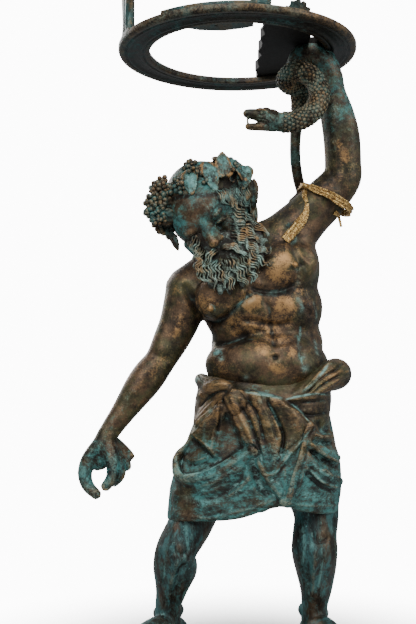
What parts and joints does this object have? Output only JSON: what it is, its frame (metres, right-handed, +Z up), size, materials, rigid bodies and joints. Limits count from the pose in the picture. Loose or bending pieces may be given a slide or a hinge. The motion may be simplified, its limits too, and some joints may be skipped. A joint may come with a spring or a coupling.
{
  "type": "bronze statue of a silenus carrying a vessel ring",
  "caption": "Standing bearded silenus in patinated cast bronze, wreathed and draped at the hips, one arm raised with a serpent to carry a flat vessel ring with palmette uprights.",
  "frame": {"origin": "on the base's underside, under the middle of the body", "axes": "+Z up, the figure faces -Y, its raised left arm is on +X"},
  "size_m": [0.2426, 0.2, 0.5915],
  "materials": {
    "figure_bronze": "brown bronze patina, worn golden on high places, pale blue-green verdigris in the recesses",
    "serpent_bronze": "olive green patina with copper points on the scales",
    "ring_bronze": "near black patina with teal and rust on the rim",
    "pad_rough_bronze": "rough, black, matt",
    "base_bronze": "dark brown bronze patina with green in the step",
    "gold_ribbon": "gold glitter ribbon"
  },
  "bodies": {
    "root": {"figure": "figure_bronze", "serpent": "serpent_bronze", "vessel_ring": "ring_bronze", "left_palmette": "ring_bronze", "front_palmette": "ring_bronze", "back_palmette": "ring_bronze", "ring_pad": "pad_rough_bronze", "base": "base_bronze", "tie_ribbon": "gold_ribbon"}
  },
  "joints": []
}
